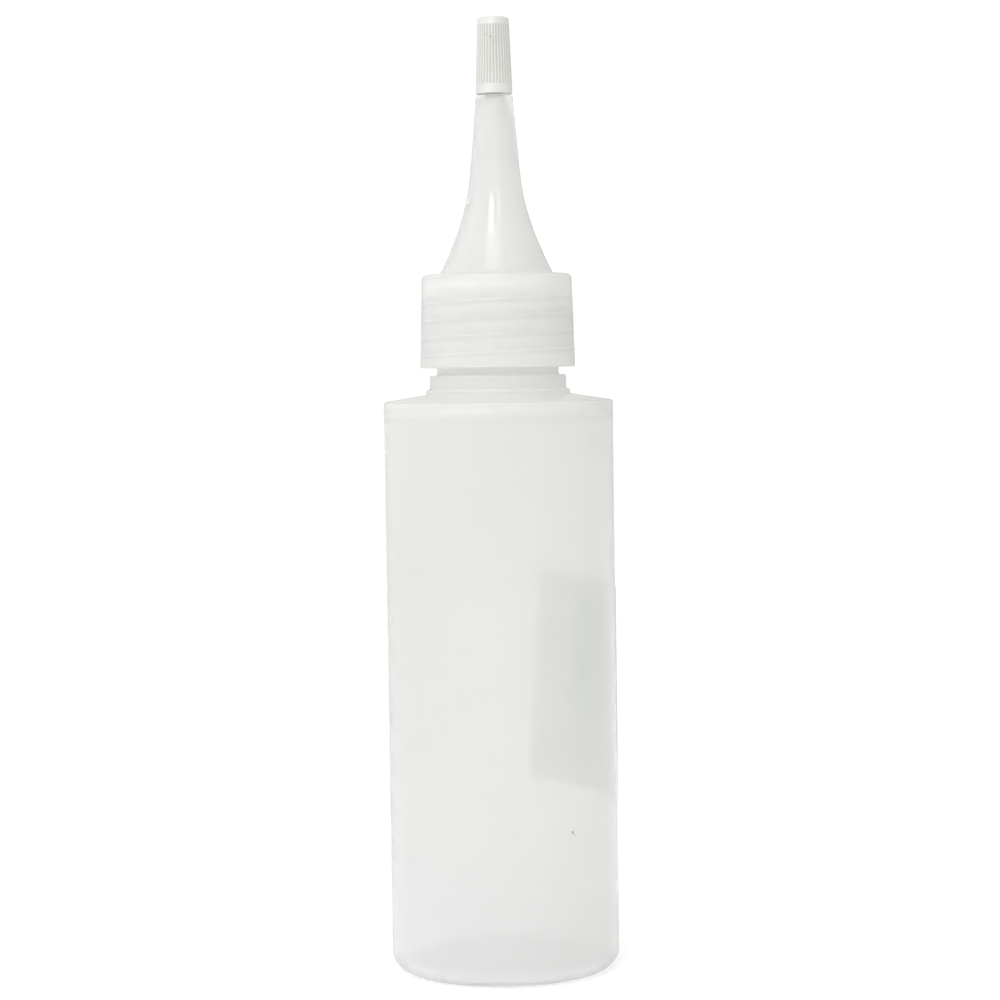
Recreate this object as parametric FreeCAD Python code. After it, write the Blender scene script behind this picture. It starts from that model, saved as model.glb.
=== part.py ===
import FreeCAD, Part
import math
import os

# Glue applicator bottle: a blow-moulded natural polyethylene bottle with a 24 mm
# screw finish, a one-piece spout cap with a trumpet-shaped nozzle, a seal washer
# under the cap, a ribbed push-on tip cap and a plain self-adhesive label.
#
# Frame: +Z up, origin at the centre of the base on the standing plane, front = -Y.
# All dimensions in millimetres.

V = FreeCAD.Vector
os.makedirs("parts", exist_ok=True)

# ------------------------------------------------------------------ dimensions
# bottle
R_BODY = 20.0            # outside radius of the cylindrical body
WALL = 1.0               # body wall
HEEL_R = 3.2             # outside radius of the heel
PUSH_UP = 1.6            # recess of the base above the standing ring
Z_SHOULDER = 99.4        # height of the theoretical shoulder corner
SHOULDER_R = 1.0         # radius on the shoulder edge
Z_NECK_BASE = 100.6      # where the sloping shoulder meets the neck
R_BASE_COLLAR = 12.5     # low collar at the foot of the neck
R_BEAD = 11.9            # transfer bead
Z_BEAD_LO, Z_BEAD_HI = 101.55, 103.9
R_NECK = 10.6            # neck wall under the thread (E/2)
R_THREAD = 11.8          # thread crest (T/2)
R_BORE = 8.6             # neck bore
Z_LIP = 118.9            # sealing lip

# thread (24 mm class, right hand)
PITCH = 3.0
FLANK = 0.5 / 1.2        # half-width gained per mm of depth
NECK_CREST_W = 0.70      # flat on the neck thread's crest
CAP_CREST_W = 0.60       # flat on the cap thread's crest
Z_CAP_HELIX0 = 105.75    # cap thread centre line at angle 0, extrapolated
NECK_T0, NECK_T1 = 480.0, 1265.0     # neck thread, start and end angle (deg)
CAP_T0, CAP_T1 = 120.0, 1400.0       # cap thread, start and end angle (deg)
FLANK_GAP = 0.25         # clearance between the loaded flanks

# spout cap
Z_CAP_BOT, Z_CAP_TOP = 105.2, 121.4
R_CAP_BOT, R_CAP_TOP = 13.5, 13.05
R_CAP_IN = 12.05         # skirt inside
R_CAP_CREST = 10.95      # cap thread crest
PANEL = 1.5              # top panel thickness
WASHER_T = 1.0
R_WASHER_OUT = 11.6
R_WASHER_IN = 8.7

# nozzle
NOZZLE_OUT = [(9.90, 121.40), (9.30, 122.60), (8.75, 123.70), (8.00, 125.50),
              (7.28, 127.20), (6.62, 128.90), (6.05, 130.60), (5.55, 132.35),
              (5.12, 134.10), (4.78, 135.80), (4.54, 137.50), (4.33, 139.20),
              (4.01, 142.70), (3.70, 146.10), (3.42, 149.50), (3.20, 152.25)]
NOZZLE_IN = [(9.10, 119.90), (8.40, 121.40), (7.40, 123.70), (6.66, 125.50),
             (5.96, 127.20), (5.33, 128.90), (4.79, 130.60), (4.30, 132.35),
             (3.88, 134.10), (3.56, 135.80), (3.32, 137.50), (3.12, 139.20),
             (2.80, 142.70), (2.47, 146.10), (2.15, 149.00)]
Z_SEAT = 152.25          # little shoulder that the tip cap comes down to
R_SPIGOT_LO, R_SPIGOT_HI = 2.10, 1.65
Z_SPIGOT_TOP = 163.2
R_ORIFICE = 0.6

# tip cap
Z_TIP_BOT, Z_TIP_TOP = 152.55, 165.75
R_TIP_BAND = 3.20        # plain band at the rim
Z_TIP_BAND = 153.95
R_TIP_RIB_LO, R_TIP_RIB_HI = 3.17, 2.78   # rib crests, bottom and top
RIB_DEPTH = 0.14
N_RIBS = 34
Z_RIB_TOP = 164.55
R_TIP_TOP = 2.72
TIP_FIT = 0.05           # radial clearance on the spigot
R_TIP_PIN = 0.5
Z_TIP_PIN = 161.3
Z_TIP_INSIDE = 163.3

# label
LABEL_W, LABEL_H = 27.0, 38.0
LABEL_Z = 48.4           # centre height
LABEL_AZ = 33.4          # centre azimuth from +X towards +Y
LABEL_SKEW = 3.6         # stuck on slightly askew
LABEL_R0, LABEL_R1 = 20.01, 20.10
LABEL_CORNER = 1.6


# the cap's thread rides just under the neck's thread: height from one centre line to the other
R_MESH = 0.5 * (R_NECK + R_THREAD) + 0.2
HELIX_OFFSET = (NECK_CREST_W / 2 + (R_THREAD - R_MESH) * FLANK
                + CAP_CREST_W / 2 + (R_MESH - R_CAP_CREST) * FLANK
                + FLANK_GAP * math.sqrt(1 + FLANK ** 2))


# ------------------------------------------------------------------ helpers
def fillet_path(points):
    """Edges of an open path in the XZ half plane. Each point is (r, z, fillet)."""
    pts = [V(p[0], 0, p[1]) for p in points]
    rad = [p[2] if len(p) > 2 else 0.0 for p in points]
    edges = []
    last = pts[0]
    for i in range(1, len(pts)):
        p = pts[i]
        if i < len(pts) - 1 and rad[i] > 0:
            a = (pts[i - 1] - p).normalize()
            b = (pts[i + 1] - p).normalize()
            cosang = max(-1.0, min(1.0, a.dot(b)))
            ang = math.acos(cosang)
            t = rad[i] / math.tan(ang / 2.0)
            s, e = p + a * t, p + b * t
            bis = (a + b).normalize()
            c = p + bis * (rad[i] / math.sin(ang / 2.0))
            m = c + (p - c).normalize() * rad[i]
            if (s - last).Length > 1e-7:
                edges.append(Part.LineSegment(last, s).toShape())
            edges.append(Part.Arc(s, m, e).toShape())
            last = e
        else:
            if (p - last).Length > 1e-7:
                edges.append(Part.LineSegment(last, p).toShape())
            last = p
    return edges


def spline_edge(points):
    c = Part.BSplineCurve()
    c.interpolate([V(r, 0, z) for r, z in points])
    return c.toShape()


def revolve(edges):
    wire = Part.Wire(Part.__sortEdges__(edges))
    face = Part.Face(wire)
    solid = face.revolve(V(0, 0, 0), V(0, 0, 1), 360)
    if solid.Volume < 0:
        solid.reverse()
    return solid


def helix_ridge(r_base, r_crest, crest_w, z_centre_at_0, t0, t1, sink=0.25):
    """A right-hand helical ridge of trapezoid section between angles t0 and t1 (degrees)."""
    turns = (t1 - t0) / 360.0
    helix = Part.makeHelix(PITCH, turns * PITCH, r_base)
    depth = abs(r_crest - r_base)
    sign = 1.0 if r_crest > r_base else -1.0
    hb = crest_w / 2 + (depth + sink) * FLANK
    hc = crest_w / 2
    r_sunk = r_base - sign * sink
    pts = [V(r_sunk, 0, -hb), V(r_crest, 0, -hc), V(r_crest, 0, hc), V(r_sunk, 0, hb)]
    prof = Part.makePolygon(pts + [pts[0]])
    ridge = Part.Wire(helix.Edges).makePipeShell([prof], True, True)
    z0 = z_centre_at_0 + PITCH * t0 / 360.0
    ridge.rotate(V(0, 0, 0), V(0, 0, 1), t0)
    ridge.translate(V(0, 0, z0))
    if ridge.Volume < 0:
        ridge.reverse()
    return ridge


def one_solid(shape, name):
    s = shape.removeSplitter() if hasattr(shape, "removeSplitter") else shape
    if not s.isValid() or len(s.Solids) != 1:
        s = shape
    solids = s.Solids
    assert len(solids) == 1, (name, len(solids))
    out = solids[0]
    if out.Volume < 0:
        out.reverse()
    assert out.isValid(), name
    return out


def save(shape, name):
    shape.exportStep(os.path.join("parts", name + ".step"))
    b = shape.BoundBox
    print("%-12s vol %9.2f mm3  x %.2f..%.2f  y %.2f..%.2f  z %.2f..%.2f  faces %d"
          % (name, shape.Volume, b.XMin, b.XMax, b.YMin, b.YMax, b.ZMin, b.ZMax, len(shape.Faces)))


# ------------------------------------------------------------------ bottle
def make_bottle():
    outer = [
        (0.0, PUSH_UP),
        (12.0, PUSH_UP, 2.5),
        (14.2, 0.0, 1.0),
        (R_BODY, 0.0, HEEL_R),
        (R_BODY, Z_SHOULDER, SHOULDER_R),
        (R_BASE_COLLAR, Z_NECK_BASE, 0.25),
        (R_BASE_COLLAR + 0.05, Z_BEAD_LO - 0.15, 0.4),
        (R_BEAD, Z_BEAD_LO, 0.12),
        (R_BEAD, Z_BEAD_HI, 0.4),
        (R_NECK, Z_BEAD_HI, 0.3),
        (R_NECK, Z_LIP, 0.5),
        (R_BORE, Z_LIP, 0.35),
        (R_BORE, 99.4, 1.6),
        (R_BODY - WALL, 98.2, 1.2),
        (R_BODY - WALL, 1.15, 2.4),
        (14.6, 1.15, 1.2),
        (12.4, PUSH_UP + 1.1, 2.2),
        (0.0, PUSH_UP + 1.1),
        (0.0, PUSH_UP),
    ]
    body = revolve(fillet_path(outer))
    ridge = helix_ridge(R_NECK, R_THREAD, NECK_CREST_W, Z_CAP_HELIX0 + HELIX_OFFSET, NECK_T0, NECK_T1)
    return one_solid(body.fuse(ridge), "bottle")


# ------------------------------------------------------------------ spout cap
def make_spout_cap():
    edges = []
    z_under = Z_CAP_TOP - PANEL
    # skirt inside, rim, skirt outside, panel top
    skirt = [
        (NOZZLE_IN[0][0], z_under),
        (R_CAP_IN, z_under, 0.25),
        (R_CAP_IN, Z_CAP_BOT + 0.5),
        (R_CAP_IN + 0.25, Z_CAP_BOT),
        (R_CAP_BOT, Z_CAP_BOT, 0.3),
        (R_CAP_TOP, Z_CAP_TOP, 0.9),
        NOZZLE_OUT[0],
    ]
    edges += fillet_path(skirt)
    edges.append(spline_edge(NOZZLE_OUT))
    top = [
        NOZZLE_OUT[-1],
        (R_SPIGOT_LO, Z_SEAT, 0.1),
        (R_SPIGOT_HI, Z_SPIGOT_TOP, 0.35),
        (R_ORIFICE, Z_SPIGOT_TOP),
        (R_ORIFICE, 159.6),
        (0.95, 156.2),
        (1.10, 152.6),
        NOZZLE_IN[-1],
    ]
    edges += fillet_path(top)
    edges.append(spline_edge(NOZZLE_IN))
    cap = revolve(edges)
    ridge = helix_ridge(R_CAP_IN, R_CAP_CREST, CAP_CREST_W, Z_CAP_HELIX0, CAP_T0, CAP_T1)
    print("cap thread sits %.3f mm under the neck thread" % HELIX_OFFSET)
    return one_solid(cap.fuse(ridge), "spout_cap")


# ------------------------------------------------------------------ seal washer
def make_washer():
    z0 = Z_LIP
    pts = [
        (R_WASHER_IN, z0), (R_WASHER_OUT, z0, 0.15), (R_WASHER_OUT, z0 + WASHER_T, 0.15),
        (R_WASHER_IN, z0 + WASHER_T), (R_WASHER_IN, z0),
    ]
    return revolve(fillet_path(pts))


# ------------------------------------------------------------------ tip cap
def rib_wire(r_crest, r_root, z):
    pts = []
    step = 2 * math.pi / N_RIBS
    for i in range(N_RIBS):
        a = i * step
        for da, r in ((-0.16, r_crest), (0.16, r_crest), (0.36, r_root), (0.64, r_root)):
            pts.append(V(r * math.cos(a + da * step), r * math.sin(a + da * step), z))
    return Part.makePolygon(pts + [pts[0]])


def make_tip_cap():
    def spigot(z):
        f = (z - Z_SEAT) / (Z_SPIGOT_TOP - Z_SEAT)
        return R_SPIGOT_LO + (R_SPIGOT_HI - R_SPIGOT_LO) * f
    r_core_lo = R_TIP_RIB_LO - RIB_DEPTH
    r_core_hi = R_TIP_RIB_HI - RIB_DEPTH
    slope = (r_core_hi - r_core_lo) / (Z_RIB_TOP - Z_TIP_BAND)
    pts = [
        (spigot(Z_TIP_BOT) + TIP_FIT, Z_TIP_BOT),
        (R_TIP_BAND, Z_TIP_BOT, 0.15),
        (R_TIP_BAND - 0.02, Z_TIP_BAND, 0.12),
        (r_core_lo, Z_TIP_BAND + 0.02),
        (r_core_hi, Z_RIB_TOP),
        (R_TIP_TOP, Z_RIB_TOP + 0.02),
        (R_TIP_TOP - 0.02, Z_TIP_TOP, 0.45),
        (0.0, Z_TIP_TOP),
        (0.0, Z_TIP_PIN),
        (R_TIP_PIN, Z_TIP_PIN, 0.15),
        (R_TIP_PIN, Z_TIP_INSIDE),
        (spigot(Z_SPIGOT_TOP) + TIP_FIT, Z_TIP_INSIDE),
        (spigot(Z_TIP_BOT) + TIP_FIT, Z_TIP_BOT),
    ]
    core = revolve(fillet_path(pts))
    w0 = rib_wire(R_TIP_RIB_LO, r_core_lo - 0.03, Z_TIP_BAND - 0.1)
    w1 = rib_wire(R_TIP_RIB_HI, r_core_hi - 0.03, Z_RIB_TOP + 0.1)
    star = Part.makeLoft([w0, w1], True, True)
    # hollow the ribbed sleeve so that it only adds to the outside of the core
    hole = Part.makeCone(r_core_lo - 0.3, r_core_hi - 0.3, Z_RIB_TOP - Z_TIP_BAND + 0.4,
                         V(0, 0, Z_TIP_BAND - 0.2), V(0, 0, 1))
    star = star.cut(hole)
    return one_solid(core.fuse(star), "tip_cap")


# ------------------------------------------------------------------ label
def make_label():
    z0, h = LABEL_Z - 30, 60
    shell = Part.makeCylinder(LABEL_R1, h, V(0, 0, z0)).cut(
        Part.makeCylinder(LABEL_R0, h, V(0, 0, z0)))
    half = math.sin(LABEL_W / 2 / R_BODY) * R_BODY
    w, hh, c = half, LABEL_H / 2, LABEL_CORNER
    # rounded rectangle in the YZ plane, pushed out along +X
    pts = [(-w, -hh), (w, -hh), (w, hh), (-w, hh)]
    edges = []
    n = len(pts)
    ends = []
    for i in range(n):
        p = V(0, *pts[i]); a = V(0, *pts[i - 1]); b = V(0, *pts[(i + 1) % n])
        da, db = (a - p).normalize(), (b - p).normalize()
        s, e = p + da * c, p + db * c
        ctr = p + da * c + db * c
        m = ctr + (p - ctr).normalize() * c
        ends.append((s, m, e))
    for i in range(n):
        s, m, e = ends[i]
        edges.append(Part.Arc(s, m, e).toShape())
        edges.append(Part.LineSegment(e, ends[(i + 1) % n][0]).toShape())
    face = Part.Face(Part.Wire(Part.__sortEdges__(edges)))
    prism = face.extrude(V(30, 0, 0))
    prism.rotate(V(0, 0, 0), V(1, 0, 0), LABEL_SKEW)
    prism.translate(V(0, 0, LABEL_Z))
    prism.rotate(V(0, 0, 0), V(0, 0, 1), LABEL_AZ)
    return one_solid(shell.common(prism), "label")


save(make_bottle(), "bottle")
save(make_spout_cap(), "spout_cap")
save(make_washer(), "seal_washer")
save(make_tip_cap(), "tip_cap")
save(make_label(), "label")
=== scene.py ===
import math

import bpy
import numpy as np
from mathutils import Matrix, Vector


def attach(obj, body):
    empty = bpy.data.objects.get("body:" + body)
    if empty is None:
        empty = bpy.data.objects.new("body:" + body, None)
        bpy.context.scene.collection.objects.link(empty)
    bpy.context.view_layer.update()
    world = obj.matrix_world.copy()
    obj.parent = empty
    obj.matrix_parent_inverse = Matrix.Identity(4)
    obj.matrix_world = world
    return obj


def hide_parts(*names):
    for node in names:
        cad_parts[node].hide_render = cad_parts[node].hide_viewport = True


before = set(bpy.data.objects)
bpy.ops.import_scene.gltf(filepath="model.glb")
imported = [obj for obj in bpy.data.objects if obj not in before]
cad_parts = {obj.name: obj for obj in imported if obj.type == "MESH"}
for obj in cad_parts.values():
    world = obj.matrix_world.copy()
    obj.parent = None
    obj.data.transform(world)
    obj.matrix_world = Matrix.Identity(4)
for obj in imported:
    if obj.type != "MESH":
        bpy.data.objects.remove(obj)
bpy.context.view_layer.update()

MM = 0.001
scene = bpy.context.scene

# ------------------------------------------------------------------ dimensions (mm), as in the CAD
R_BODY, HEEL_R, PUSH_UP = 20.0, 3.2, 1.6
Z_SHOULDER, SHOULDER_R, Z_NECK_BASE = 99.4, 1.0, 100.6
R_BASE_COLLAR = 12.5
R_BEAD, Z_BEAD_LO, Z_BEAD_HI = 11.9, 101.55, 103.9
R_NECK, R_THREAD, R_BORE, Z_LIP = 10.6, 11.8, 8.6, 118.9
PITCH, FLANK = 3.0, 0.5 / 1.2
NECK_CREST_W, CAP_CREST_W = 0.70, 0.60
Z_CAP_HELIX0, HELIX_OFFSET = 105.75, 1.275
NECK_T0, NECK_T1 = 480.0, 1265.0
CAP_T0, CAP_T1 = 120.0, 1400.0
Z_CAP_BOT, Z_CAP_TOP, R_CAP_BOT, R_CAP_TOP = 105.2, 121.4, 13.5, 13.05
R_CAP_IN, R_CAP_CREST, PANEL = 12.05, 10.95, 1.5
NOZZLE_OUT = [(9.90, 121.40), (9.30, 122.60), (8.75, 123.70), (8.00, 125.50), (7.28, 127.20), (6.62, 128.90),
              (6.05, 130.60), (5.55, 132.35), (5.12, 134.10), (4.78, 135.80), (4.54, 137.50), (4.33, 139.20),
              (4.01, 142.70), (3.70, 146.10), (3.42, 149.50), (3.20, 152.25)]
NOZZLE_IN = [(9.10, 119.90), (8.40, 121.40), (7.40, 123.70), (6.66, 125.50), (5.96, 127.20), (5.33, 128.90),
             (4.79, 130.60), (4.30, 132.35), (3.88, 134.10), (3.56, 135.80), (3.32, 137.50), (3.12, 139.20),
             (2.80, 142.70), (2.47, 146.10), (2.15, 149.00)]
Z_SEAT, R_SPIGOT_LO, R_SPIGOT_HI, Z_SPIGOT_TOP, R_ORIFICE = 152.25, 2.10, 1.65, 163.2, 0.6
R_WASHER_IN, R_WASHER_OUT, WASHER_T = 8.7, 11.6, 1.0
Z_TIP_BOT, Z_TIP_TOP, R_TIP_BAND, Z_TIP_BAND = 152.55, 165.75, 3.20, 153.95
R_TIP_RIB_LO, R_TIP_RIB_HI, RIB_DEPTH, N_RIBS, Z_RIB_TOP = 3.17, 2.78, 0.14, 34, 164.55
R_TIP_TOP, TIP_FIT, R_TIP_PIN, Z_TIP_PIN, Z_TIP_INSIDE = 2.72, 0.05, 0.5, 161.3, 163.3
LABEL_W, LABEL_H, LABEL_Z, LABEL_AZ, LABEL_SKEW = 27.0, 38.0, 48.4, 33.4, 3.6
LABEL_R0, LABEL_R1, LABEL_CORNER = 20.01, 20.10, 1.6


# ------------------------------------------------------------------ profile helpers
def fillet(points, arc_step=0.22):
    """Polyline of (r, z, fillet radius) corners with the corners rounded."""
    P = [Vector((p[0], p[1])) for p in points]
    out = []
    n = len(P)
    for i, p in enumerate(P):
        rad = points[i][2] if len(points[i]) > 2 else 0.0
        if rad <= 0 or i in (0, n - 1):
            out.append((p.x, p.y))
            continue
        a, b = (P[i - 1] - p).normalized(), (P[i + 1] - p).normalized()
        ang = math.acos(max(-1.0, min(1.0, a.dot(b))))
        t = rad / math.tan(ang / 2)
        c = p + (a + b).normalized() * (rad / math.sin(ang / 2))
        s, e = p + a * t, p + b * t
        a0, a1 = math.atan2(s.y - c.y, s.x - c.x), math.atan2(e.y - c.y, e.x - c.x)
        d = (a1 - a0 + math.pi) % (2 * math.pi) - math.pi
        k = max(4, min(14, int(abs(d) * rad / arc_step) + 4))
        for j in range(k + 1):
            q = a0 + d * j / k
            out.append((c.x + rad * math.cos(q), c.y + rad * math.sin(q)))
    return out


def smooth_curve(points, per=5):
    """Catmull-Rom points through the list."""
    P = np.array(points, float)
    P = np.vstack([2 * P[0] - P[1], P, 2 * P[-1] - P[-2]])
    out = []
    for i in range(1, len(P) - 2):
        for j in range(per):
            t = j / per
            a, b, c, d = P[i - 1], P[i], P[i + 1], P[i + 2]
            out.append(tuple(0.5 * ((2 * b) + (-a + c) * t + (2 * a - 5 * b + 4 * c - d) * t ** 2 + (-a + 3 * b - 3 * c + d) * t ** 3)))
    out.append(tuple(P[-2]))
    return out


def clean(profile, tol=1e-4):
    out = [profile[0]]
    for p in profile[1:]:
        if math.hypot(p[0] - out[-1][0], p[1] - out[-1][1]) > tol:
            out.append(p)
    return out


def densify(profile, z0, z1, r_lo, r_hi, step):
    """Adds rows to the parts of the profile that run along a wall between z0 and z1 with radius between r_lo and r_hi."""
    out = []
    for i in range(len(profile) - 1):
        a, b = profile[i], profile[i + 1]
        out.append(a)
        if r_lo <= a[0] <= r_hi and r_lo <= b[0] <= r_hi and abs(b[1] - a[1]) > 2 * step:
            lo, hi = min(a[1], b[1]), max(a[1], b[1])
            if hi > z0 and lo < z1:
                k = int(abs(b[1] - a[1]) / step)
                out += [(a[0] + (b[0] - a[0]) * j / k, a[1] + (b[1] - a[1]) * j / k) for j in range(1, k)]
    out.append(profile[-1])
    return out


def lathe(name, profile, segs, shift=None, closed=True):
    """A body of revolution. profile is a list of (r, z) in mm; shift(r, z, angle) gives a new (r, z)."""
    profile = clean(profile)
    verts, rows = [], []
    ang = [2 * math.pi * i / segs for i in range(segs)]
    for r, z in profile:
        if r < 1e-5:
            rows.append([len(verts)])
            verts.append((0, 0, z * MM))
            continue
        row = []
        for a in ang:
            rr, zz = shift(r, z, a) if shift else (r, z)
            row.append(len(verts))
            verts.append((rr * math.cos(a) * MM, rr * math.sin(a) * MM, zz * MM))
        rows.append(row)
    faces = []
    n = len(rows)
    last = n if closed else n - 1
    for i in range(last):
        A, B = rows[i], rows[(i + 1) % n]
        if len(A) == 1 and len(B) == 1:
            continue
        for j in range(segs):
            k = (j + 1) % segs
            if len(A) == 1:
                faces.append((A[0], B[k], B[j]))
            elif len(B) == 1:
                faces.append((A[j], A[k], B[0]))
            else:
                faces.append((A[j], A[k], B[k], B[j]))
    me = bpy.data.meshes.new(name)
    me.from_pydata(verts, [], faces)
    me.validate()
    ob = bpy.data.objects.new(name, me)
    scene.collection.objects.link(ob)
    finish_mesh(ob)
    return ob


def finish_mesh(ob, angle=32.0):
    """Outward normals, smooth faces and sharp edges above the angle."""
    import bmesh
    bm = bmesh.new()
    bm.from_mesh(ob.data)
    bmesh.ops.remove_doubles(bm, verts=bm.verts, dist=1e-7)
    bmesh.ops.recalc_face_normals(bm, faces=bm.faces)
    vol = bm.calc_volume(signed=True)
    if vol < 0:
        bmesh.ops.reverse_faces(bm, faces=bm.faces)
    for f in bm.faces:
        f.smooth = True
    lim = math.radians(angle)
    for e in bm.edges:
        e.smooth = not (len(e.link_faces) == 2 and e.calc_face_angle(0.0) > lim)
    bm.to_mesh(ob.data)
    bm.free()


def smoothstep(x):
    x = max(0.0, min(1.0, x))
    return x * x * (3 - 2 * x)


def ridge(z, angle, depth, crest_w, z_at_0, t0, t1, run=38.0):
    """Height of a right-hand thread ridge over its wall at (z, angle), with ramped ends."""
    deg = math.degrees(angle) % 360.0
    best = 0.0
    k0 = int(math.floor((t0 - deg) / 360.0))
    for k in range(k0, k0 + int((t1 - t0) / 360.0) + 3):
        t = deg + 360.0 * k
        if t < t0 or t > t1:
            continue
        zc = z_at_0 + PITCH * t / 360.0
        ends = smoothstep(min(t - t0, t1 - t) / run)
        d = depth * ends
        if d <= 0:
            continue
        dist = abs(z - zc)
        h = d if dist <= crest_w / 2 * ends else d - (dist - crest_w / 2 * ends) / FLANK
        best = max(best, h)
    # soften foot and crest a little
    if best <= 0:
        return 0.0
    x = best / depth
    return depth * (x if x < 0.85 else 0.85 + (x - 0.85) * 0.93)


# ------------------------------------------------------------------ node helpers
def material(name):
    m = bpy.data.materials.new(name)
    m.use_nodes = True
    nt = m.node_tree
    nt.nodes.clear()
    out = nt.nodes.new("ShaderNodeOutputMaterial")
    return m, nt, out


def N(nt, kind, **inputs):
    n = nt.nodes.new(kind)
    for k, v in inputs.items():
        n.inputs[k.replace("_", " ")].default_value = v
    return n


def noise(nt, vec, scale, detail=4.0, rough=0.55, distortion=0.0, stretch=None):
    if stretch:
        mp = nt.nodes.new("ShaderNodeMapping")
        mp.inputs["Scale"].default_value = stretch
        nt.links.new(vec, mp.inputs["Vector"])
        vec = mp.outputs["Vector"]
    n = nt.nodes.new("ShaderNodeTexNoise")
    n.inputs["Scale"].default_value = scale
    n.inputs["Detail"].default_value = detail
    n.inputs["Roughness"].default_value = rough
    n.inputs["Distortion"].default_value = distortion
    nt.links.new(vec, n.inputs["Vector"])
    return n.outputs["Fac"]


def ramp(nt, fac, stops, interp="LINEAR"):
    r = nt.nodes.new("ShaderNodeValToRGB")
    r.color_ramp.interpolation = interp
    els = r.color_ramp.elements
    while len(els) > 1:
        els.remove(els[-1])
    els[0].position, els[0].color = stops[0][0], stops[0][1]
    for pos, col in stops[1:]:
        e = els.new(pos)
        e.color = col
    nt.links.new(fac, r.inputs["Fac"])
    return r.outputs["Color"]


def map_range(nt, fac, a, b, c, d):
    m = nt.nodes.new("ShaderNodeMapRange")
    m.inputs["From Min"].default_value, m.inputs["From Max"].default_value = a, b
    m.inputs["To Min"].default_value, m.inputs["To Max"].default_value = c, d
    nt.links.new(fac, m.inputs["Value"])
    return m.outputs["Result"]


def math_node(nt, op, a, b=None):
    m = nt.nodes.new("ShaderNodeMath")
    m.operation = op
    for i, v in enumerate((a, b)):
        if v is None:
            continue
        if isinstance(v, (int, float)):
            m.inputs[i].default_value = v
        else:
            nt.links.new(v, m.inputs[i])
    return m.outputs[0]


def bump(nt, height, strength, distance, normal=None):
    b = nt.nodes.new("ShaderNodeBump")
    b.inputs["Strength"].default_value = strength
    b.inputs["Distance"].default_value = distance
    nt.links.new(height, b.inputs["Height"])
    if normal is not None:
        nt.links.new(normal, b.inputs["Normal"])
    return b.outputs["Normal"]


def mix_colour(nt, fac, a, b, blend="MIX"):
    m = nt.nodes.new("ShaderNodeMix")
    m.data_type = "RGBA"
    m.blend_type = blend
    for sock, v in ((m.inputs[0], fac), (m.inputs[6], a), (m.inputs[7], b)):
        if isinstance(v, (int, float, tuple)):
            sock.default_value = v
        else:
            nt.links.new(v, sock)
    return m.outputs[2]


def mix_shader(nt, fac, a, b):
    m = nt.nodes.new("ShaderNodeMixShader")
    if isinstance(fac, (int, float)):
        m.inputs[0].default_value = fac
    else:
        nt.links.new(fac, m.inputs[0])
    nt.links.new(a, m.inputs[1])
    nt.links.new(b, m.inputs[2])
    return m.outputs[0]


def coords(nt):
    return nt.nodes.new("ShaderNodeTexCoord").outputs["Object"]


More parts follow.
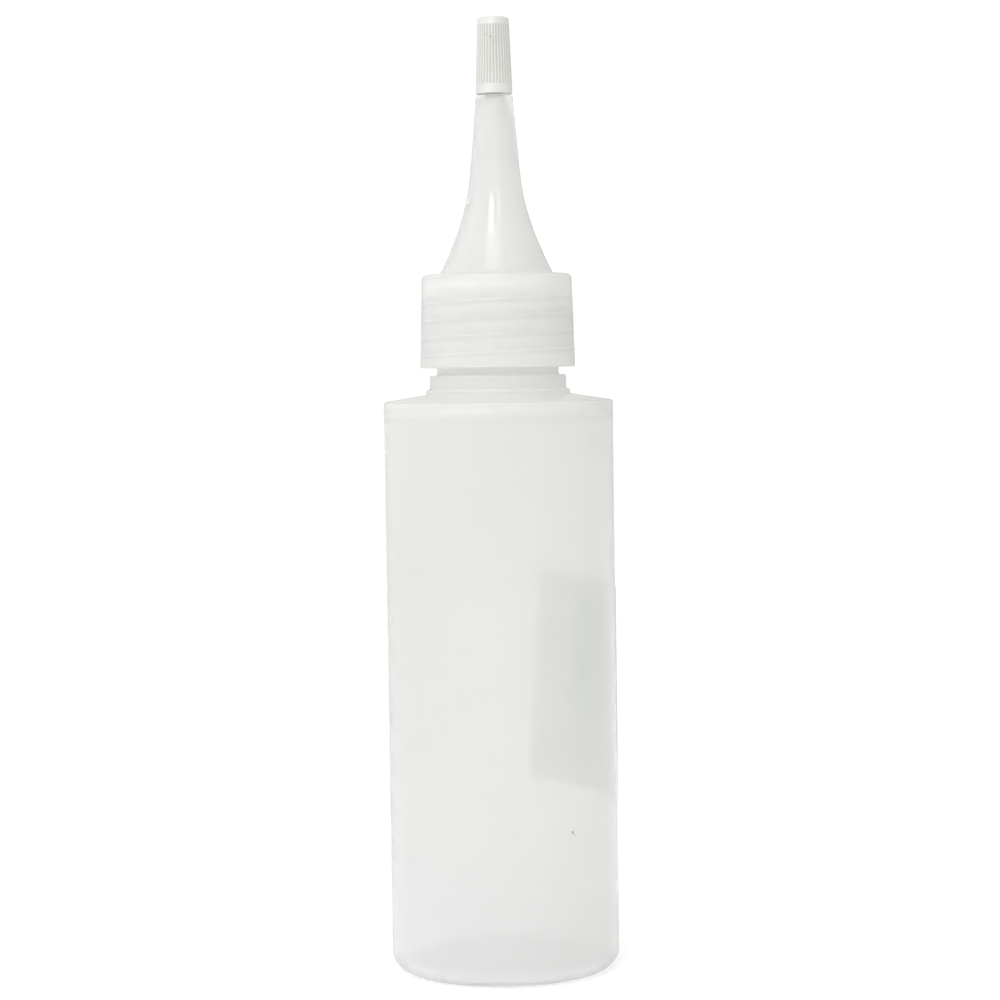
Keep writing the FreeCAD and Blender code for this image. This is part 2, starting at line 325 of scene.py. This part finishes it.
# ------------------------------------------------------------------ materials
def translucent_plastic(name, tints, zones, roughness, bump_fine, bump_wave, specks=(), thread_glints=None, upper_satin=0.0, ring=None):
    """Natural polyethylene: a milky wall that lets light through, with a faint satin skin.

    tints is (thin, thick) colour of the wall. zones is a list of (z mm, transmission, translucent share, clearness),
    read along the axis: clearness 1 is the wall colour as given, 0 is a wall that takes no light at all.
    The thread tuple (z of the helix at angle 0, z from, z to, strength) draws painted glint lines along the thread
    helix, each with a painted darker band below it.
    The ring tuple (z mm, half width, amount) draws a painted shade line around the wall at that height.
    """
    m, nt, out = material(name)
    vec = coords(nt)
    sep = nt.nodes.new("ShaderNodeSeparateXYZ")
    nt.links.new(vec, sep.inputs[0])
    z_mm = math_node(nt, "MULTIPLY", sep.outputs["Z"], 1000.0)
    z_lo, z_hi = zones[0][0], zones[-1][0]
    along = map_range(nt, z_mm, z_lo, z_hi, 0.0, 1.0)
    zone = ramp(nt, along, [((z - z_lo) / (z_hi - z_lo), (tr, sh, cl, 1.0)) for z, tr, sh, cl in zones])
    zsep = nt.nodes.new("ShaderNodeSeparateColor")
    nt.links.new(zone, zsep.inputs[0])
    wall = noise(nt, vec, 90.0, 3.0, 0.5, 0.3, (1.0, 1.0, 0.28))      # slow wall thickness changes, drawn out along the axis
    grain = noise(nt, vec, 2600.0, 5.0, 0.6)
    scuff = noise(nt, vec, 700.0, 6.0, 0.62, 0.6, (1.0, 1.0, 0.45))
    tint, deep, foot = tints
    col = ramp(nt, wall, [(0.30, (*deep, 1)), (0.68, (*tint, 1))])
    col = mix_colour(nt, map_range(nt, z_mm, 8.0, 58.0, 1.0, 0.0), col, (*foot, 1.0))
    col = mix_colour(nt, zsep.outputs[2], (0.999, 0.9988, 0.9968, 1.0), col)
    if ring:
        # painted shade: a fine dark line around the shoulder's edge, standing in for the dark refraction along its
        # small rounding
        zr, half, amount = ring
        k = map_range(nt, math_node(nt, "ABSOLUTE", math_node(nt, "SUBTRACT", z_mm, zr)), half * 0.4, half, amount, 0.0)
        col = mix_colour(nt, k, col, (0.35, 0.35, 0.34, 1.0))
    for (x, y, z, r) in specks:
        d = nt.nodes.new("ShaderNodeVectorMath")
        d.operation = "DISTANCE"
        nt.links.new(vec, d.inputs[0])
        d.inputs[1].default_value = (x * MM, y * MM, z * MM)
        near = math_node(nt, "ADD", d.outputs["Value"], math_node(nt, "MULTIPLY", math_node(nt, "SUBTRACT", grain, 0.5), r * MM * 2.0))
        k = map_range(nt, near, r * MM * 0.6, r * MM, 1.0, 0.0)
        col = mix_colour(nt, k, col, (0.10, 0.09, 0.08, 1.0))
    p = nt.nodes.new("ShaderNodeBsdfPrincipled")
    nt.links.new(col, p.inputs["Base Color"])
    p.inputs["IOR"].default_value = 1.45
    trans, share = zsep.outputs[0], zsep.outputs[1]
    # painted glints: along the helix, weight moves from clear transmission to milky translucency for bright lines, with
    # a painted darker band below each
    if thread_glints:
        z0, z_from, z_to, strength = thread_glints
        turn = math_node(nt, "MULTIPLY", math_node(nt, "ARCTAN2", sep.outputs["Y"], sep.outputs["X"]), PITCH / (2 * math.pi))
        rel = math_node(nt, "SUBTRACT", math_node(nt, "SUBTRACT", z_mm, z0), turn)
        phase = math_node(nt, "WRAP", rel, PITCH / 2)
        phase.node.inputs[2].default_value = -PITCH / 2
        streak = noise(nt, vec, 130.0, 5.0, 0.62, 0.0, (1.0, 1.0, 9.0))
        line = map_range(nt, math_node(nt, "ABSOLUTE", math_node(nt, "ADD", phase, map_range(nt, streak, 0.3, 0.7, -0.10, 0.10))), 0.02, 0.17, 1.0, 0.0)
        glint_shade_band = map_range(nt, math_node(nt, "ABSOLUTE", math_node(nt, "ADD", phase, 0.55)), 0.10, 0.55, 1.0, 0.0)
        inside = math_node(nt, "MULTIPLY", map_range(nt, z_mm, z_from, z_from + 0.5, 0.0, 1.0), map_range(nt, z_mm, z_to - 0.5, z_to, 1.0, 0.0))
        line = math_node(nt, "MULTIPLY", math_node(nt, "MULTIPLY", line, inside), map_range(nt, streak, 0.44, 0.62, 0.0, 1.0))
        glint_shade_band = math_node(nt, "MULTIPLY", math_node(nt, "MULTIPLY", glint_shade_band, inside), 0.30)
        glint_swing = math_node(nt, "MULTIPLY", math_node(nt, "SUBTRACT", line, glint_shade_band), strength)
        trans = math_node(nt, "SUBTRACT", trans, glint_swing)
        share = math_node(nt, "ADD", share, glint_swing)
    nt.links.new(trans, p.inputs["Transmission Weight"])
    satin = map_range(nt, scuff, 0.25, 0.8, roughness - 0.02, roughness + 0.03)
    if upper_satin:
        satin = math_node(nt, "ADD", satin, map_range(nt, z_mm, 121.2, 123.0, 0.0, upper_satin))
    nt.links.new(satin, p.inputs["Roughness"])
    nrm = bump(nt, grain, bump_fine, 0.00004)
    nrm = bump(nt, wall, bump_wave, 0.0006, nrm)
    nt.links.new(nrm, p.inputs["Normal"])
    t = nt.nodes.new("ShaderNodeBsdfTranslucent")
    nt.links.new(col, t.inputs["Color"])
    nt.links.new(nrm, t.inputs["Normal"])
    nt.links.new(mix_shader(nt, share, p.outputs[0], t.outputs[0]), out.inputs["Surface"])
    return m


mat_bottle = translucent_plastic(
    "polyethylene_body", ((0.9770, 0.9768, 0.9680), (0.9660, 0.9658, 0.9570), (0.9740, 0.9738, 0.9815)),
    [(0.0, 0.74, 0.20, 0.50), (20.0, 0.76, 0.19, 0.80), (96.5, 0.76, 0.19, 1.0), (98.6, 0.57, 0.37, 0.55), (100.6, 0.52, 0.43, 0.0), (102.0, 0.48, 0.47, 0.0), (106.0, 0.50, 0.44, 0.0), (108.0, 0.58, 0.34, 0.0), (119.0, 0.58, 0.34, 0.0)],
    0.06, 0.08, 0.06,
    specks=[(11.60, -16.3, 26.20, 0.21), (11.78, -16.2, 25.93, 0.17), (11.98, -16.05, 25.62, 0.13), (-18.6, -3.0, 5.0, 0.25)],
    # ring: a painted shade line along the shoulder edge
    ring=(99.37, 0.06, 0.42))
mat_spout = translucent_plastic(
    "polyethylene_spout", ((0.985, 0.989, 0.982), (0.975, 0.980, 0.972), (0.985, 0.985, 0.983)),
    [(105.0, 0.59, 0.34, 0.22), (111.0, 0.59, 0.34, 0.12), (114.0, 0.59, 0.34, 0.0), (120.5, 0.59, 0.34, 0.04), (121.9, 0.66, 0.31, 0.0), (129.0, 0.74, 0.23, 0.0), (142.0, 0.82, 0.14, 0.3), (164.0, 0.83, 0.13, 0.5)],
    # the thread tuple gives painted glint lines on the skirt over its inner thread
    0.05, 0.05, 0.03, thread_glints=(Z_CAP_HELIX0, 106.6, 118.4, 0.085), upper_satin=0.09)


def make_washer_material():
    m, nt, out = material("foam_washer")
    vec = coords(nt)
    cells = nt.nodes.new("ShaderNodeTexVoronoi")
    cells.inputs["Scale"].default_value = 4500.0
    nt.links.new(vec, cells.inputs["Vector"])
    soft = noise(nt, vec, 900.0, 4.0)
    p = nt.nodes.new("ShaderNodeBsdfPrincipled")
    nt.links.new(ramp(nt, soft, [(0.3, (0.86, 0.86, 0.83, 1)), (0.7, (0.93, 0.93, 0.91, 1))]), p.inputs["Base Color"])
    nt.links.new(map_range(nt, soft, 0.3, 0.7, 0.62, 0.78), p.inputs["Roughness"])
    nt.links.new(bump(nt, cells.outputs["Distance"], 0.5, 0.00006), p.inputs["Normal"])
    nt.links.new(p.outputs[0], out.inputs["Surface"])
    return m


def make_tip_material():
    """Opaque white moulded cap, a little grimy, with painted shade between the ribs."""
    m, nt, out = material("white_tip_cap")
    vec = coords(nt)
    grime = noise(nt, vec, 420.0, 4.0, 0.55, 0.3, (1, 1, 0.35))
    fine = noise(nt, vec, 3000.0, 3.0, 0.5)
    base = ramp(nt, grime, [(0.30, (0.60, 0.60, 0.575, 1)), (0.62, (0.66, 0.66, 0.645, 1))])
    # painted shade between the ribs: darker where the wall is nearer the axis than the crests
    sep = nt.nodes.new("ShaderNodeSeparateXYZ")
    nt.links.new(vec, sep.inputs[0])
    flat = nt.nodes.new("ShaderNodeCombineXYZ")
    nt.links.new(sep.outputs["X"], flat.inputs["X"])
    nt.links.new(sep.outputs["Y"], flat.inputs["Y"])
    rad = nt.nodes.new("ShaderNodeVectorMath")
    rad.operation = "LENGTH"
    nt.links.new(flat.outputs[0], rad.inputs[0])
    crest = map_range(nt, sep.outputs["Z"], Z_TIP_BAND * MM, Z_RIB_TOP * MM, R_TIP_RIB_LO * MM, R_TIP_RIB_HI * MM)
    depth = math_node(nt, "SUBTRACT", crest, rad.outputs["Value"])
    groove = map_range(nt, depth, 0.02 * MM, RIB_DEPTH * MM, 0.0, 0.55)
    groove = math_node(nt, "MULTIPLY", groove, map_range(nt, sep.outputs["Z"], (Z_TIP_BAND + 0.05) * MM, (Z_TIP_BAND + 0.3) * MM, 0.0, 1.0))
    groove = math_node(nt, "MULTIPLY", groove, map_range(nt, sep.outputs["Z"], (Z_RIB_TOP - 0.1) * MM, (Z_RIB_TOP + 0.1) * MM, 1.0, 0.0))
    # mix in the painted shade colour in the rib grooves
    col = mix_colour(nt, groove, base, (0.42, 0.42, 0.39, 1.0))
    for (x, y, z, r) in ((-2.66, -0.80, 164.5, 0.15), (-1.30, -2.45, 162.6, 0.20), (-0.45, -2.72, 162.2, 0.16), (-2.27, -1.90, 159.7, 0.17), (-2.2, -1.97, 159.2, 0.12)):
        d = nt.nodes.new("ShaderNodeVectorMath")
        d.operation = "DISTANCE"
        nt.links.new(vec, d.inputs[0])
        d.inputs[1].default_value = (x * MM, y * MM, z * MM)
        near = math_node(nt, "ADD", d.outputs["Value"], math_node(nt, "MULTIPLY", math_node(nt, "SUBTRACT", fine, 0.5), r * MM * 2.5))
        k = map_range(nt, near, r * MM * 0.5, r * MM, 0.75, 0.0)
        col = mix_colour(nt, k, col, (0.16, 0.15, 0.13, 1.0))
    p = nt.nodes.new("ShaderNodeBsdfPrincipled")
    nt.links.new(col, p.inputs["Base Color"])
    nt.links.new(map_range(nt, grime, 0.3, 0.7, 0.30, 0.44), p.inputs["Roughness"])
    p.inputs["IOR"].default_value = 1.50
    nt.links.new(bump(nt, fine, 0.05, 0.00002), p.inputs["Normal"])
    nt.links.new(p.outputs[0], out.inputs["Surface"])
    return m


def make_label_material():
    """Matt self-adhesive paper with a plain tinted panel and ruled writing lines."""
    m, nt, out = material("label_paper")
    uv = nt.nodes.new("ShaderNodeUVMap")
    uv.uv_map = "LabelUV"
    sep = nt.nodes.new("ShaderNodeSeparateXYZ")
    nt.links.new(uv.outputs["UV"], sep.inputs[0])
    u, v = sep.outputs["X"], sep.outputs["Y"]
    vec = coords(nt)
    fibre = noise(nt, vec, 1800.0, 6.0, 0.65, 0.8)
    blotch = noise(nt, vec, 220.0, 4.0, 0.55)
    paper = ramp(nt, blotch, [(0.3, (0.945, 0.95, 0.965, 1)), (0.7, (0.97, 0.975, 0.98, 1))])

    def band(src, a, b, soft=0.004):
        lo = map_range(nt, src, a - soft, a + soft, 0.0, 1.0)
        hi = map_range(nt, src, b - soft, b + soft, 1.0, 0.0)
        return math_node(nt, "MULTIPLY", lo, hi)

    panel = math_node(nt, "MULTIPLY", band(u, 0.33, 0.70), band(v, 0.33, 0.91))
    col = mix_colour(nt, math_node(nt, "MULTIPLY", panel, 0.85), paper, (0.82, 0.89, 0.88, 1.0))
    # three ruled lines under the panel
    for y in (0.10, 0.17, 0.24):
        line = math_node(nt, "MULTIPLY", band(v, y - 0.004, y + 0.004, 0.0015), band(u, 0.12, 0.88))
        col = mix_colour(nt, math_node(nt, "MULTIPLY", line, 0.7), col, (0.50, 0.56, 0.58, 1.0))
    p = nt.nodes.new("ShaderNodeBsdfPrincipled")
    nt.links.new(col, p.inputs["Base Color"])
    nt.links.new(map_range(nt, fibre, 0.2, 0.8, 0.55, 0.75), p.inputs["Roughness"])
    nt.links.new(bump(nt, fibre, 0.35, 0.00004), p.inputs["Normal"])
    t = nt.nodes.new("ShaderNodeBsdfTranslucent")
    nt.links.new(col, t.inputs["Color"])
    nt.links.new(mix_shader(nt, 0.78, p.outputs[0], t.outputs[0]), out.inputs["Surface"])
    return m


mat_washer = make_washer_material()
mat_tip = make_tip_material()
mat_label = make_label_material()


# ------------------------------------------------------------------ bottle
SEGS = 224


def make_bottle():
    outer = fillet([
        (0.0, PUSH_UP), (12.0, PUSH_UP, 2.5), (14.2, 0.0, 1.0), (R_BODY, 0.0, HEEL_R),
        (R_BODY, Z_SHOULDER, 0.6 * SHOULDER_R), (R_BASE_COLLAR, Z_NECK_BASE, 0.25),
        (R_BASE_COLLAR + 0.05, Z_BEAD_LO - 0.15, 0.4), (R_BEAD, Z_BEAD_LO, 0.12),
        (R_BEAD, Z_BEAD_HI, 0.4), (R_NECK, Z_BEAD_HI, 0.3), (R_NECK, Z_LIP, 0.5),
        (R_BORE, Z_LIP, 0.35), (R_BORE, 99.4, 1.6), (R_BODY - 1.0, 98.2, 1.2),
        (R_BODY - 1.0, 1.15, 2.4), (14.6, 1.15, 1.2), (12.4, PUSH_UP + 1.1, 2.2),
        (0.0, PUSH_UP + 1.1)])
    # rows along the threaded wall and the long body walls
    prof = densify(outer, 104.2, 118.4, R_NECK - 0.01, R_NECK + 0.01, 0.13)
    prof = densify(prof, 3.0, 98.5, R_BODY - 0.01, R_BODY + 0.01, 2.0)
    prof = densify(prof, 3.0, 98.5, R_BODY - 1.01, R_BODY - 0.99, 2.0)

    def shift(r, z, a):
        if abs(r - R_NECK) < 0.02 and 104.2 < z < 118.5:
            return R_NECK + ridge(z, a, R_THREAD - R_NECK, NECK_CREST_W, Z_CAP_HELIX0 + HELIX_OFFSET, NECK_T0, NECK_T1), z
        # inside of the wall: slow changes of thickness, as blow moulding leaves them
        if 18.5 < r < 19.05 and 4 < z < 97:
            w = 0.07 * math.sin(2 * a + 0.5) * math.sin(z / 19.0) + 0.05 * math.sin(3 * a + z / 31.0)
            return r - 0.02 + w * smoothstep((z - 4) / 12) * smoothstep((97 - z) / 12), z
        # pinch-off line across the recessed base
        if z < 1.75 and r < 11.0 and abs(z - PUSH_UP) < 0.1:
            y = r * math.sin(a)
            return r, z - 0.16 * math.exp(-(y / 0.35) ** 2) * smoothstep((10.5 - r) / 1.5)
        return r, z

    # extra rings across the base so that the pinch line has a shape
    base = [(0.0, PUSH_UP)] + [(x, PUSH_UP) for x in np.linspace(0.35, 9.6, 28)]
    prof = base + [p for p in prof[1:]]
    ob = lathe("bottle_wall", prof, SEGS, shift, closed=True)
    ob.data.materials.append(mat_bottle)
    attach(ob, "bottle")
    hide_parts("bottle")
    return ob


# ------------------------------------------------------------------ spout cap
def make_spout():
    z_under = Z_CAP_TOP - PANEL
    skirt = fillet([
        (NOZZLE_IN[0][0], z_under), (R_CAP_IN, z_under, 0.25), (R_CAP_IN, Z_CAP_BOT + 0.5),
        (R_CAP_IN + 0.25, Z_CAP_BOT), (R_CAP_BOT, Z_CAP_BOT, 0.3), (R_CAP_TOP, Z_CAP_TOP, 0.9), (NOZZLE_OUT[0][0] + 0.35, Z_CAP_TOP)])
    skirt = densify(skirt, 105.5, 119.6, R_CAP_IN - 0.01, R_CAP_IN + 0.01, 0.13)
    foot = [(NOZZLE_OUT[0][0] + 0.12, Z_CAP_TOP + 0.03), (NOZZLE_OUT[0][0] - 0.06, Z_CAP_TOP + 0.16)]
    out_curve = smooth_curve(NOZZLE_OUT)[3:]
    top = fillet([(NOZZLE_OUT[-1][0], NOZZLE_OUT[-1][1] - 0.35), (NOZZLE_OUT[-1][0], Z_SEAT, 0.12), (R_SPIGOT_LO, Z_SEAT, 0.1), (R_SPIGOT_HI, Z_SPIGOT_TOP, 0.35),
                  (R_ORIFICE, Z_SPIGOT_TOP, 0.08), (R_ORIFICE, 159.6, 1.5), (0.95, 156.2, 2.0), (1.10, 152.6, 1.0), NOZZLE_IN[-1]])
    in_curve = smooth_curve(NOZZLE_IN)[::-1]
    prof = skirt + foot + out_curve[:-1] + top[1:-1] + in_curve[:-1]

    def shift(r, z, a):
        if abs(r - R_CAP_IN) < 0.02 and 105.5 < z < 119.6:
            return R_CAP_IN - ridge(z, a, R_CAP_IN - R_CAP_CREST, CAP_CREST_W, Z_CAP_HELIX0, CAP_T0, CAP_T1), z
        return r, z

    ob = lathe("spout_cap_shell", prof, SEGS, shift, closed=True)
    ob.data.materials.append(mat_spout)
    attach(ob, "spout")
    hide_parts("spout_cap")
    return ob


# ------------------------------------------------------------------ seal washer
def make_washer():
    z0, z1 = Z_LIP, Z_LIP + WASHER_T
    prof = fillet([(10.0, z0), (R_WASHER_OUT, z0, 0.15), (R_WASHER_OUT, z1, 0.15), (R_WASHER_IN, z1, 0.12), (R_WASHER_IN, z0, 0.12), (9.9, z0)], 0.05)

    def shift(r, z, a):
        # the ring that the neck's lip has pressed into the foam
        if abs(z - z0) < 1e-3 and R_BORE + 0.2 < r < R_NECK - 0.2:
            return r, z + 0.06
        return r, z

    rows = [p for p in prof]
    extra = [(x, z0) for x in np.linspace(9.85, 8.95, 6)]
    ob = lathe("seal_washer_ring", rows[:-1] + extra[:0] + [rows[-1]], SEGS // 2, shift, closed=True)
    ob.data.materials.append(mat_washer)
    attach(ob, "seal")
    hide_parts("seal_washer")
    return ob


# ------------------------------------------------------------------ tip cap
def make_tip():
    def spigot(z):
        f = (z - Z_SEAT) / (Z_SPIGOT_TOP - Z_SEAT)
        return R_SPIGOT_LO + (R_SPIGOT_HI - R_SPIGOT_LO) * f

    hi_z = Z_RIB_TOP
    prof = fillet([
        (spigot(Z_TIP_BOT) + TIP_FIT, Z_TIP_BOT, 0.0), (R_TIP_BAND, Z_TIP_BOT, 0.15), (R_TIP_BAND - 0.02, Z_TIP_BAND, 0.12),
        (R_TIP_RIB_LO - 0.01, Z_TIP_BAND + 0.02)], 0.05)
    prof += [(R_TIP_RIB_LO + (R_TIP_RIB_HI - R_TIP_RIB_LO) * (z - Z_TIP_BAND) / (hi_z - Z_TIP_BAND), z) for z in
             [Z_TIP_BAND + 0.10, Z_TIP_BAND + 0.22, Z_TIP_BAND + 0.36] + list(np.linspace(Z_TIP_BAND + 0.8, hi_z - 0.7, 16)) + [hi_z - 0.36, hi_z - 0.22, hi_z - 0.10, hi_z]]
    prof += fillet([(R_TIP_RIB_HI, hi_z), (R_TIP_TOP + 0.02, hi_z + 0.06), (R_TIP_TOP - 0.02, Z_TIP_TOP, 0.45), (1.9, Z_TIP_TOP)], 0.05)[1:]
    prof += [(1.2, Z_TIP_TOP - 0.03), (0.6, Z_TIP_TOP - 0.05), (0.0, Z_TIP_TOP - 0.055)]
    inner = fillet([(0.0, Z_TIP_PIN), (R_TIP_PIN, Z_TIP_PIN, 0.2), (R_TIP_PIN, Z_TIP_INSIDE, 0.1),
                    (spigot(Z_SPIGOT_TOP) + TIP_FIT, Z_TIP_INSIDE, 0.1), (spigot(Z_TIP_BOT) + TIP_FIT, Z_TIP_BOT)], 0.05)
    prof += inner[:-1]
    step = 2 * math.pi / N_RIBS
    per = 12
    z_lo, z_hi = Z_TIP_BAND + 0.10, hi_z

    def shift(r, z, a):
        if z_lo - 0.01 <= z <= z_hi + 0.01 and r > 2.5:
            x = ((a / step + 0.5) % 1.0) - 0.5
            groove = smoothstep((abs(x) - 0.17) / 0.20)
            fade = smoothstep((z - z_lo + 0.04) / 0.30) * smoothstep((z_hi + 0.04 - z) / 0.30)
            return r - RIB_DEPTH * groove * fade, z
        return r, z

    ob = lathe("tip_cap_shell", prof, N_RIBS * per, shift, closed=True)
    ob.data.materials.append(mat_tip)
    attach(ob, "tip")
    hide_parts("tip_cap")
    return ob


# ------------------------------------------------------------------ label
def make_label():
    w, h, c = LABEL_W / 2, LABEL_H / 2, LABEL_CORNER
    nu, nv = ((56, 84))
    sk = math.radians(LABEL_SKEW)
    az = math.radians(LABEL_AZ)

    def place(s, t, r):
        s2, t2 = s * math.cos(sk) - t * math.sin(sk), s * math.sin(sk) + t * math.cos(sk)
        a = az + s2 / R_BODY
        return (r * math.cos(a) * MM, r * math.sin(a) * MM, (LABEL_Z + t2) * MM)

    def rounded(s, t):
        """Pulls the grid's corners in to a quarter circle."""
        ds, dt = abs(s) - (w - c), abs(t) - (h - c)
        if ds > 0 and dt > 0:
            m = max(ds, dt)
            L = math.hypot(ds, dt)
            k = m / L
            return math.copysign(w - c + ds * k, s), math.copysign(h - c + dt * k, t)
        return s, t

    def axis_points(half, n):
        inner = list(np.linspace(-(half - c), half - c, n - 11))
        edge = [half - c + c * k / 6 for k in range(1, 7)]
        return [-e for e in edge[::-1]] + inner + edge

    S, T = axis_points(w, nu), axis_points(h, nv)
    verts, uvs = [], []
    for r in (LABEL_R0, LABEL_R1):
        for t in T:
            for s in S:
                ss, tt = rounded(s, t)
                # the edge of the paper is a touch lower than its middle
                edge = min(w - abs(ss), h - abs(tt))
                rr = r - (0.03 * (1 - smoothstep(edge / 0.5)) if r == LABEL_R1 else 0.0)
                verts.append(place(ss, tt, rr))
                uvs.append((ss / LABEL_W + 0.5, tt / LABEL_H + 0.5))
    nS, nT = len(S), len(T)
    faces = []
    off = nS * nT
    for j in range(nT - 1):
        for i in range(nS - 1):
            a, b, cc, d = j * nS + i, j * nS + i + 1, (j + 1) * nS + i + 1, (j + 1) * nS + i
            faces.append((a, d, cc, b))
            faces.append((off + a, off + b, off + cc, off + d))
    rim = [i for i in range(nS)] + [j * nS + nS - 1 for j in range(1, nT)] + [(nT - 1) * nS + i for i in range(nS - 2, -1, -1)] + [j * nS for j in range(nT - 2, 0, -1)]
    for k in range(len(rim)):
        a, b = rim[k], rim[(k + 1) % len(rim)]
        faces.append((a, b, off + b, off + a))
    me = bpy.data.meshes.new("label_paper_sheet")
    me.from_pydata(verts, [], faces)
    layer = me.uv_layers.new(name="LabelUV")
    for loop in me.loops:
        layer.data[loop.index].uv = uvs[loop.vertex_index]
    ob = bpy.data.objects.new("label_paper_sheet", me)
    scene.collection.objects.link(ob)
    finish_mesh(ob, 40)
    ob.data.materials.append(mat_label)
    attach(ob, "bottle")
    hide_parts("label")
    return ob


make_bottle()
make_spout()
make_washer()
make_tip()
make_label()

# ------------------------------------------------------------------ floor and light
WORLD_HORIZON, WORLD_ZENITH = 0.915, 1.01
WORLD_LEFT, WORLD_RIGHT = 1.10, 0.62
FLOOR_GLOW = 0.55
KEY_POWER = 1.6
floor_me = bpy.data.meshes.new("floor")
S = 4.0
floor_me.from_pydata([(-S, -S, -0.0001), (S, -S, -0.0001), (S, S, -0.0001), (-S, S, -0.0001)], [], [(0, 1, 2, 3)])
floor = bpy.data.objects.new("floor", floor_me)
scene.collection.objects.link(floor)
fm, fnt, fout = material("pale_floor")
fp = fnt.nodes.new("ShaderNodeBsdfPrincipled")
fp.inputs["Base Color"].default_value = (0.55, 0.55, 0.55, 1)
fp.inputs["Emission Color"].default_value = (1.0, 1.0, 1.0, 1)
fp.inputs["Emission Strength"].default_value = FLOOR_GLOW
fp.inputs["Roughness"].default_value = 0.9
fp.inputs["Specular IOR Level"].default_value = 0.1
fnt.links.new(fp.outputs[0], fout.inputs["Surface"])
floor.data.materials.append(fm)

world = bpy.data.worlds.new("soft_studio")
scene.world = world
world.use_nodes = True
wnt = world.node_tree
wnt.nodes.clear()
wout = wnt.nodes.new("ShaderNodeOutputWorld")
wtc = wnt.nodes.new("ShaderNodeTexCoord")
wsep = wnt.nodes.new("ShaderNodeSeparateXYZ")
wnt.links.new(wtc.outputs["Generated"], wsep.inputs[0])
# a soft room: brighter overhead, a little darker to the right
up_ = map_range(wnt, wsep.outputs["Z"], 0.0, 1.0, WORLD_HORIZON, WORLD_ZENITH)
side_ = map_range(wnt, wsep.outputs["X"], -1.0, 1.0, WORLD_LEFT, WORLD_RIGHT)
light_bg = wnt.nodes.new("ShaderNodeBackground")
wnt.links.new(ramp(wnt, map_range(wnt, wsep.outputs["X"], -1.0, 1.0, 0.0, 1.0), [(0.0, (0.998, 0.998, 0.996, 1)), (1.0, (1.0, 0.996, 0.940, 1))]), light_bg.inputs["Color"])
wnt.links.new(math_node(wnt, "MULTIPLY", up_, side_), light_bg.inputs["Strength"])
seen_bg = wnt.nodes.new("ShaderNodeBackground")
seen_bg.inputs["Color"].default_value = (1.0, 1.0, 1.0, 1)
seen_bg.inputs["Strength"].default_value = 1.05
lp = wnt.nodes.new("ShaderNodeLightPath")
wnt.links.new(mix_shader(wnt, lp.outputs["Is Camera Ray"], light_bg.outputs[0], seen_bg.outputs[0]), wout.inputs["Surface"])


def area(name, azimuth, elevation, distance, size, power, target=(0, 0, 0.11), colour=(1, 1, 1)):
    """A soft rectangular lamp. Azimuth 0 is in front of the object, negative to the left."""
    li = bpy.data.lights.new(name, "AREA")
    li.shape = "RECTANGLE"
    li.size, li.size_y = size
    li.energy = power
    li.color = colour
    ob = bpy.data.objects.new(name, li)
    scene.collection.objects.link(ob)
    a, e = math.radians(azimuth), math.radians(elevation)
    ob.location = Vector(target) + distance * Vector((math.sin(a) * math.cos(e), -math.cos(a) * math.cos(e), math.sin(e)))
    ob.rotation_euler = (Vector(target) - ob.location).to_track_quat("-Z", "Y").to_euler()
    ob.visible_transmission = True
    return ob


area("key_soft", -17.0, 35.0, 0.9, (0.24, 0.30), KEY_POWER)
area("key_second", 12.0, 31.0, 0.9, (0.06, 0.20), KEY_POWER * 0.22)
area("top_strip", -50.0, 68.0, 0.9, (0.90, 0.06), 1.0)
area("front_high", -8.0, 50.0, 0.9, (0.46, 0.28), 0.95)

# ------------------------------------------------------------------ camera
cam_data = bpy.data.cameras.new("camera")
cam = bpy.data.objects.new("camera", cam_data)
scene.collection.objects.link(cam)
scene.camera = cam
D, F_PX, ZC, XC, PITCH_DEG, ROLL_DEG = 473.5, 2711.7, 106.7, 0.05, 2.98, -0.80
cam_data.sensor_width = 36.0
cam_data.lens = F_PX / 1000.0 * 36.0
cam_data.clip_start, cam_data.clip_end = 0.01, 20.0
p_, r_ = math.radians(PITCH_DEG), math.radians(ROLL_DEG)
fwd = Vector((0, math.cos(p_), -math.sin(p_)))
rgt = Vector((1, 0, 0))
up = Vector((0, math.sin(p_), math.cos(p_)))
r2 = rgt * math.cos(r_) + up * math.sin(r_)
u2 = -rgt * math.sin(r_) + up * math.cos(r_)
rot = Matrix((r2, u2, -fwd)).transposed()
cam.matrix_world = Matrix.Translation(Vector((XC, -D, ZC)) * MM) @ rot.to_4x4()

scene.view_settings.view_transform = "Standard"
scene.view_settings.look = "None"
scene.cycles.use_denoising = True
scene.cycles.denoising_input_passes = "RGB_ALBEDO_NORMAL"
scene.cycles.sample_clamp_indirect = 4.0
scene.cycles.max_bounces = 48
scene.cycles.diffuse_bounces = 32
scene.cycles.glossy_bounces = 8
scene.cycles.transmission_bounces = 40
scene.cycles.transparent_max_bounces = 16
